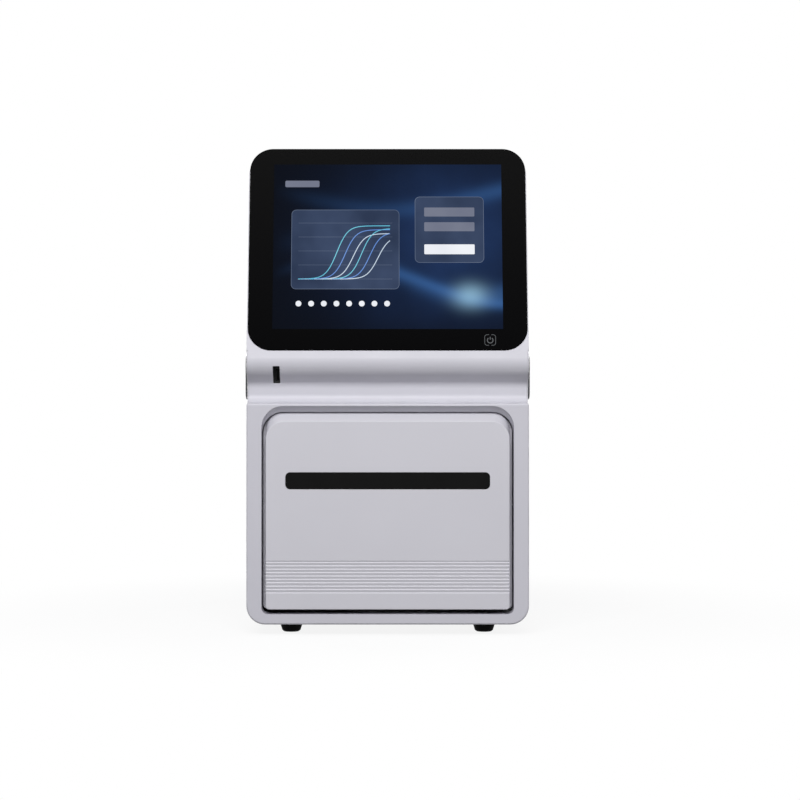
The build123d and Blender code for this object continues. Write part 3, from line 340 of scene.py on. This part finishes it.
# The bearing blocks are anodised black, as they can be seen through the gap under the drawer
ownFinishes = {"drive_bearings": "motorBlack"}
for part in frame["record"]["subparts"]:
    finish = ownFinishes.get(part["node"], slotFinishes[part["material_slot"]])
    for materialSlot in nodes[part["node"]].material_slots:
        materialSlot.material = materials[finish]
print("materials on the frame's nodes")


# Flat shapes on the leaning glass, drawn in millimetres from the glass's lower edge
glassPlane = {"lean": math.radians(13.0), "thickness": 3.0 * mm, "clear": 0.1 * mm}
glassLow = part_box("touch_glass")[0]
leanSin, leanCos = math.sin(glassPlane["lean"]), math.cos(glassPlane["lean"])
glassFoot = Vector((0, glassLow[1] - glassPlane["clear"], glassLow[2] + glassPlane["thickness"] * leanSin))


def onGlass(across, up, proud):
    rise = Vector((0, leanSin, leanCos)) * up * mm
    out = Vector((0, -leanCos, leanSin)) * proud * mm
    return glassFoot + Vector((across * mm, 0, 0)) + rise + out


# A rounded box as a loop of points, counterclockwise from the upper right corner
def roundedLoop(x0, y0, x1, y1, radius, steps=8):
    loop = []
    corners = ((x1 - radius, y1 - radius, 0), (x0 + radius, y1 - radius, 90),
               (x0 + radius, y0 + radius, 180), (x1 - radius, y0 + radius, 270))
    for cx, cy, start in corners:
        for step in range(steps + 1):
            turn = math.radians(start + 90 * step / steps)
            loop.append((cx + radius * math.cos(turn), cy + radius * math.sin(turn)))
    return loop


# A line of even width along a path on the glass
def addStrip(shape, proud, path, width, closed):
    left, right = [], []
    count = len(path)
    for index, (x, y) in enumerate(path):
        before = path[index - 1] if index or closed else path[index]
        after = path[(index + 1) % count] if index + 1 < count or closed else path[index]
        along = Vector((after[0] - before[0], after[1] - before[1])).normalized()
        side = Vector((-along.y, along.x)) * width / 2
        left.append(shape.verts.new(onGlass(x + side.x, y + side.y, proud)))
        right.append(shape.verts.new(onGlass(x - side.x, y - side.y, proud)))
    for index in range(count if closed else count - 1):
        other = (index + 1) % count
        shape.faces.new((left[index], right[index], right[other], left[other]))


def flatPiece(name, material, proud, loops=(), strips=()):
    mesh = bpy.data.meshes.new(name)
    shape = bmesh.new()
    for loop in loops:
        shape.faces.new([shape.verts.new(onGlass(x, y, proud)) for x, y in loop])
    for path, width, closed in strips:
        addStrip(shape, proud, path, width, closed)
    bmesh.ops.recalc_face_normals(shape, faces=shape.faces)
    shape.to_mesh(mesh)
    shape.free()
    mesh.materials.append(material)
    piece = newObject(name, mesh)
    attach(piece, "chassis")


# The lit picture: deep blue with soft bands of light, brighter to the right. Width, height and low
# are in millimetres, places and spreads are shares of the picture, and waves is how far the bands'
# wave turns across it, in radians
picture = {
    "width": 245.8, "height": 184.3, "low": 23.3,
    "deep": srgb(4, 8, 17), "blue": srgb(30, 52, 92),
    "band": srgb(64, 112, 176), "glow": srgb(168, 214, 236),
    "hazeScale": 14.0, "hazeDetail": 4.0, "hazeLeast": 0.3,
    "blueSpot": {"x": 0.78, "y": 0.55, "wide": 0.42, "high": 0.5},
    "glowSpot": {"x": 0.86, "y": 0.2, "wide": 0.07, "high": 0.07},
    "glowStrength": 0.5,
    "waves": 4.2,
    "bands": [
        {"lift": 0.28, "swing": 0.13, "phase": 0.4, "width": 0.035, "strength": 0.5},
        {"lift": 0.36, "swing": 0.17, "phase": 1.0, "width": 0.06, "strength": 0.34},
        {"lift": 0.80, "swing": 0.08, "phase": 2.6, "width": 0.05, "strength": 0.3},
    ],
    "gloss": 0.08,
}
# Lit things are all but black when off, and hardly shine
lit = {"base": (0.002, 0.002, 0.003, 1), "index": 1.1, "shine": 0.03, "toneScale": 22.0}


def lightUp(tree, shader, colour):
    tree.links.new(colour, shader.inputs["Emission Color"])
    shader.inputs["Emission Strength"].default_value = 1.0
    shader.inputs["Base Color"].default_value = lit["base"]
    shader.inputs["IOR"].default_value = lit["index"]
    shader.inputs["Specular IOR Level"].default_value = lit["shine"]


def bellCurve(tree, value, middle, width):
    scaled = mathNode(tree, "DIVIDE", mathNode(tree, "SUBTRACT", value, middle), width)
    squared = mathNode(tree, "MULTIPLY", scaled, scaled)
    return mathNode(tree, "EXPONENT", mathNode(tree, "MULTIPLY", squared, -1.0))


def softSpot(tree, across, upward, spot):
    return mathNode(tree, "MULTIPLY", bellCurve(tree, across, spot["x"], spot["wide"]),
                    bellCurve(tree, upward, spot["y"], spot["high"]))


def waveBand(tree, across, upward, band):
    turn = mathNode(tree, "ADD", mathNode(tree, "MULTIPLY", across, picture["waves"]), band["phase"])
    wave = mathNode(tree, "MULTIPLY", mathNode(tree, "SINE", turn), band["swing"])
    middle = mathNode(tree, "ADD", wave, band["lift"])
    strength = mathNode(tree, "MULTIPLY", across, band["strength"])
    return mathNode(tree, "MULTIPLY", bellCurve(tree, upward, middle, band["width"]), strength)


# Blue haze over the deep ground, then the bands, then one small glow low on the right
def makePictureLight():
    material, tree, shader = startMaterial("pictureLight")
    place = partsOf(tree, objectPlace(tree))
    across = mathNode(tree, "ADD", mathNode(tree, "DIVIDE", place["X"], picture["width"] * mm), 0.5)
    rise = mathNode(tree, "SUBTRACT", place["Z"], onGlass(0, picture["low"], 0).z)
    upward = mathNode(tree, "DIVIDE", rise, picture["height"] * mm * leanCos)
    haze = noiseAt(tree, picture["hazeScale"], picture["hazeDetail"])
    haze = mathNode(tree, "ADD", haze, picture["hazeLeast"])
    blue = mathNode(tree, "MULTIPLY", softSpot(tree, across, upward, picture["blueSpot"]), haze)
    colour = mixColours(tree, blue, picture["deep"], picture["blue"])
    for band in picture["bands"]:
        colour = mixColours(tree, waveBand(tree, across, upward, band), colour, picture["band"])
    glow = softSpot(tree, across, upward, picture["glowSpot"])
    glow = mathNode(tree, "MULTIPLY", glow, picture["glowStrength"])
    lightUp(tree, shader, mixColours(tree, glow, colour, picture["glow"]))
    shader.inputs["Roughness"].default_value = picture["gloss"]
    return material


def litMaterial(name, low, high):
    material, tree, shader = startMaterial(name)
    lightUp(tree, shader, patches(tree, noiseAt(tree, lit["toneScale"]), low, high))
    return material


# The two tones of each lit mark
lights = {
    "panelLight": (srgb(44, 56, 80), srgb(62, 76, 104)),
    "edgeLight": (srgb(92, 104, 128), srgb(110, 122, 144)),
    "barLight": (srgb(108, 113, 132), srgb(122, 127, 144)),
    "whiteLight": (srgb(232, 235, 242), srgb(244, 246, 250)),
    "curveLight1": (srgb(96, 190, 216), srgb(128, 214, 232)),
    "curveLight2": (srgb(96, 140, 214), srgb(120, 160, 228)),
    "curveLight3": (srgb(196, 214, 232), srgb(214, 228, 240)),
    "keyMark": (srgb(92, 94, 96), srgb(106, 108, 110)),
}
for name, tones in lights.items():
    materials[name] = litMaterial(name, *tones)

# What the screen shows. Boxes are left, low, right and high as shares of the picture,
# while corner radii, line widths and the layers' heights over the glass are in millimetres
layout = {
    "pictureLayer": 0.06, "panelLayer": 0.09, "markLayer": 0.11, "curveLayer": 0.13,
    "chart": (0.08, 0.24, 0.55, 0.72), "side": (0.62, 0.40, 0.92, 0.80), "panelRound": 5, "panelLine": 0.5,
    "ruleLevels": (0.30, 0.385, 0.47, 0.555, 0.64), "ruleEnds": (0.11, 0.52), "ruleLine": 0.3,
    "bars": ((0.66, 0.68, 0.88, 0.735), (0.66, 0.59, 0.88, 0.645)),
    "button": (0.66, 0.45, 0.88, 0.51), "barRound": 1,
    "title": (0.05, 0.86, 0.20, 0.90), "titleRound": 1.5,
    "dot": (0.10, 0.135, 0.125, 0.169), "dotRound": 3.0, "dotCount": 8, "dotPitch": 0.055,
}
# The chart's curves rise one after another, in three colours, the later ones a little lower
curves = {
    "left": 0.11, "reach": 0.40, "base": 0.30, "climb": 0.34, "steps": 40, "steepness": 17, "line": 0.9,
    "colours": ("curveLight1", "curveLight2", "curveLight3"), "rounds": 2,
    "firstBend": 0.42, "bendPitch": 0.09, "top": 0.95, "colourDrop": 0.07, "roundDrop": 0.05,
}


def screenSpot(x, y):
    return (x - 0.5) * picture["width"], picture["low"] + y * picture["height"]


def screenLoop(box, radius):
    return roundedLoop(*screenSpot(*box[:2]), *screenSpot(*box[2:]), radius)


def growthCurve(colour, turn):
    bend = curves["firstBend"] + curves["bendPitch"] * (colour + len(curves["colours"]) * turn)
    top = curves["top"] - curves["colourDrop"] * colour - curves["roundDrop"] * turn
    path = []
    for step in range(curves["steps"] + 1):
        t = step / curves["steps"]
        level = top / (1 + math.exp((bend - t) * curves["steepness"]))
        across = curves["left"] + curves["reach"] * t
        path.append(screenSpot(across, curves["base"] + curves["climb"] * level))
    return path


def makePicture():
    outline = [screenSpot(0, 0), screenSpot(1, 0), screenSpot(1, 1), screenSpot(0, 1)]
    flatPiece("screenPicture", makePictureLight(), layout["pictureLayer"], [outline])
    panels = [screenLoop(layout[panel], layout["panelRound"]) for panel in ("chart", "side")]
    flatPiece("screenPanels", materials["panelLight"], layout["panelLayer"], panels)
    lines = [(panel, layout["panelLine"], True) for panel in panels]
    for level in layout["ruleLevels"]:
        lines.append(([screenSpot(end, level) for end in layout["ruleEnds"]], layout["ruleLine"], False))
    flatPiece("screenRules", materials["edgeLight"], layout["markLayer"], strips=lines)
    bars = [screenLoop(bar, layout["barRound"]) for bar in layout["bars"]]
    bars.append(screenLoop(layout["title"], layout["titleRound"]))
    flatPiece("screenBars", materials["barLight"], layout["markLayer"], bars)
    buttons = [screenLoop(layout["button"], layout["barRound"])]
    left, low, right, high = layout["dot"]
    for index in range(layout["dotCount"]):
        shift = index * layout["dotPitch"]
        buttons.append(screenLoop((left + shift, low, right + shift, high), layout["dotRound"]))
    flatPiece("screenButtons", materials["whiteLight"], layout["markLayer"], buttons)
    for index, colour in enumerate(curves["colours"]):
        strips = [(growthCurve(index, turn), curves["line"], False) for turn in range(curves["rounds"])]
        flatPiece(f"screenCurves{index + 1}", materials[colour], layout["curveLayer"], strips=strips)


# The touch power key's mark, in millimetres: a broken square round a ring with a stem.
# The ring's gap is the degrees left open on each side of its top
powerKey = {
    "x": 109.0, "y": 11.2, "size": 11.6, "line": 0.5, "gap": 2.4, "round": 2.6, "roundSteps": 6,
    "ring": 3.0, "ringDrop": 0.3, "ringGap": 38, "ringSteps": 24, "stroke": 0.9, "stem": (0.4, 3.4),
}


def makePowerKey():
    x, y, half, gap = powerKey["x"], powerKey["y"], powerKey["size"] / 2, powerKey["gap"] / 2
    square = roundedLoop(x - half, y - half, x + half, y + half, powerKey["round"], powerKey["roundSteps"])
    corner = powerKey["roundSteps"] + 1
    upRight, leftSide, lowRight = square[:corner], square[corner:-corner], square[-corner:]
    right = [(x + gap, y - half)] + lowRight + upRight + [(x + gap, y + half)]
    left = [(x - gap, y + half)] + leftSide + [(x - gap, y - half)]
    ring = []
    for step in range(powerKey["ringSteps"] + 1):
        sweep = 360 - 2 * powerKey["ringGap"]
        turn = math.radians(90 + powerKey["ringGap"] + sweep * step / powerKey["ringSteps"])
        ring.append((x + powerKey["ring"] * math.cos(turn),
                     y - powerKey["ringDrop"] + powerKey["ring"] * math.sin(turn)))
    stem = [(x, y + end) for end in powerKey["stem"]]
    strips = [(path, powerKey["line"], False) for path in (right, left)]
    strips += [(path, powerKey["stroke"], False) for path in (ring, stem)]
    flatPiece("powerKeyMark", materials["keyMark"], layout["pictureLayer"], strips=strips)


makePicture()
makePowerKey()
print("lit picture and key")


# Camera: level, on the machine's middle; above is its height over the housing's underside, in metres
view = {"above": 0.2383, "distance": 2.28, "lens": 96.75, "sensor": 36, "shift": 0.0154}


def makeCamera():
    camera = newObject("camera", bpy.data.cameras.new("camera"))
    bpy.context.scene.camera = camera
    camera.location = (0, cadLow.y - view["distance"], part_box("front_fascia")[0][2] + view["above"])
    camera.rotation_euler = (math.radians(90), 0, 0)
    camera.data.sensor_width = view["sensor"]
    camera.data.lens = view["lens"]
    camera.data.shift_x = view["shift"]


# The key and the fill stand in front, the two back lamps light the sides and the rear.
# Places, aims and sizes are in metres, powers in watts
lamps = {
    "keyLamp": {"place": (-0.2, -2.1, 1.6), "aim": (0, -0.1, 0.25), "size": (1.6, 0.8), "power": 43.0},
    "fillLamp": {"place": (1.2, -2.4, 1.0), "aim": (0, 0, 0.3), "size": (1.4, 1.4), "power": 5.5},
    "backLampL": {"place": (-1.7, 1.9, 0.45), "aim": (0, 0, 0.25), "size": (1.2, 0.3), "power": 24.0},
    "backLampR": {"place": (1.7, 1.9, 0.45), "aim": (0, 0, 0.25), "size": (1.2, 0.3), "power": 24.0},
}


def makeLamp(name, place, aim, size, power):
    lamp = bpy.data.lights.new(name, "AREA")
    lamp.shape = "RECTANGLE"
    lamp.size, lamp.size_y = size
    lamp.energy = power
    holder = newObject(name, lamp)
    holder.location = place
    holder.rotation_euler = (Vector(aim) - Vector(place)).to_track_quat("-Z", "Y").to_euler()


# True for what the eye sees straight, in a reflection or through glass
def seenRay(tree):
    path = addNode(tree, "LightPath")
    seen = mathNode(tree, "MAXIMUM", path.outputs["Is Camera Ray"], path.outputs["Is Glossy Ray"])
    return mathNode(tree, "MAXIMUM", seen, path.outputs["Is Transmission Ray"])


# World: white to the eye, a soft sky that lights from above; it grows lighter from low to high
sky = {"low": -0.4, "high": 0.8, "tones": [(0.0, (0.12, 0.12, 0.13, 1)), (1.0, (0.36, 0.36, 0.37, 1))]}


def makeWorld():
    world = bpy.data.worlds.new("studio")
    bpy.context.scene.world = world
    tree = emptyTree(world)
    height = partsOf(tree, addNode(tree, "TexCoord").outputs["Generated"])["Z"]
    light = addNode(tree, "Background")
    tones = rampOf(tree, mapRange(tree, height, sky["low"], sky["high"]), sky["tones"])
    tree.links.new(tones, light.inputs["Color"])
    seen = addNode(tree, "Background")
    seen.inputs["Color"].default_value = white
    shown = mixShaders(tree, seenRay(tree), light.outputs["Background"], seen.outputs["Background"])
    tree.links.new(shown, addNode(tree, "OutputWorld").inputs["Surface"])


# Floor: plain and pale, white to the eye but for the machine's faint shadow, which fades out
# between the near and far distance; tone is what it gives back to the machine
floorLook = {
    "half": 6.0, "shadowShare": 0.12, "near": 0.28, "far": 0.65,
    "tone": (0.18, 0.18, 0.185, 1), "pale": (0.95, 0.95, 0.95, 1),
}


def diffuse(tree, colour):
    shader = addNode(tree, "BsdfDiffuse")
    shader.inputs["Color"].default_value = colour
    return shader.outputs["BSDF"]


def makeFloor():
    half = floorLook["half"]
    mesh = bpy.data.meshes.new("floor")
    corners = [(-half, -half, 0), (half, -half, 0), (half, half, 0), (-half, half, 0)]
    mesh.from_pydata(corners, [], [(0, 1, 2, 3)])
    floor = newObject("floor", mesh)
    material = bpy.data.materials.new("paleFloor")
    tree = emptyTree(material)
    glow = addNode(tree, "Emission")
    glow.inputs["Color"].default_value = white
    away = addNode(tree, "VectorMath", operation="LENGTH")
    tree.links.new(objectPlace(tree), away.inputs[0])
    fade = mapRange(tree, away.outputs["Value"], floorLook["near"], floorLook["far"],
                    1 - floorLook["shadowShare"], interpolation_type="SMOOTHSTEP")
    shown = mixShaders(tree, fade, diffuse(tree, floorLook["pale"]), glow.outputs["Emission"])
    surface = mixShaders(tree, seenRay(tree), diffuse(tree, floorLook["tone"]), shown)
    tree.links.new(surface, addNode(tree, "OutputMaterial").inputs["Surface"])
    mesh.materials.append(material)


makeCamera()
for name, lamp in lamps.items():
    makeLamp(name, **lamp)
makeWorld()
makeFloor()
bpy.context.scene.view_settings.view_transform = "Standard"
print("camera, light and floor")
